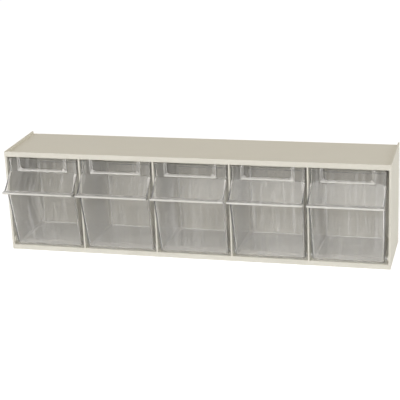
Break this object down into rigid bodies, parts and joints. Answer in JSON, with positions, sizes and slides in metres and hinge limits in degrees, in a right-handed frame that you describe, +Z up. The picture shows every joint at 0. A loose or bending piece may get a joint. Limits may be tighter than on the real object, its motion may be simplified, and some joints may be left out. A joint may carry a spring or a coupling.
{
  "type": "parts bin cabinet",
  "caption": "Wide, shallow moulded cabinet with a row of clear bins that tip forward on stubs near their lower front edge.",
  "frame": {"origin": "bottom centre of the whole cabinet with its bins closed", "axes": "+X to the right as seen from the front, +Y to the back, +Z up"},
  "size_m": [0.6, 0.153, 0.162],
  "materials": {
    "ivory_plastic": "satin moulded plastic",
    "clear_plastic": "clear glossy moulded plastic"
  },
  "bodies": {
    "housing": {"housing_left_end": "ivory_plastic", "housing_right_end": "ivory_plastic", "housing_top": "ivory_plastic", "housing_floor": "ivory_plastic", "housing_back": "ivory_plastic", "housing_top_rail": "ivory_plastic", "housing_bottom_rail": "ivory_plastic", "housing_divider_1": "ivory_plastic", "housing_divider_2": "ivory_plastic", "housing_divider_3": "ivory_plastic", "housing_divider_4": "ivory_plastic"},
    "bin_1": {"bin_1": "clear_plastic"},
    "bin_2": {"bin_2": "clear_plastic"},
    "bin_3": {"bin_3": "clear_plastic"},
    "bin_4": {"bin_4": "clear_plastic"},
    "bin_5": {"bin_5": "clear_plastic"}
  },
  "joints": [
    {"name": "bin_1_tilt", "type": "hinge", "parent": "housing", "child": "bin_1", "pos_m": [-0.23712, -0.0339, 0.0148], "axis": [1, 0, 0], "range_deg": [0, 45]},
    {"name": "bin_2_tilt", "type": "hinge", "parent": "housing", "child": "bin_2", "pos_m": [-0.11856, -0.0339, 0.0148], "axis": [1, 0, 0], "range_deg": [0, 45]},
    {"name": "bin_3_tilt", "type": "hinge", "parent": "housing", "child": "bin_3", "pos_m": [0, -0.0339, 0.0148], "axis": [1, 0, 0], "range_deg": [0, 45]},
    {"name": "bin_4_tilt", "type": "hinge", "parent": "housing", "child": "bin_4", "pos_m": [0.11856, -0.0339, 0.0148], "axis": [1, 0, 0], "range_deg": [0, 45]},
    {"name": "bin_5_tilt", "type": "hinge", "parent": "housing", "child": "bin_5", "pos_m": [0.23712, -0.0339, 0.0148], "axis": [1, 0, 0], "range_deg": [0, 45]}
  ]
}
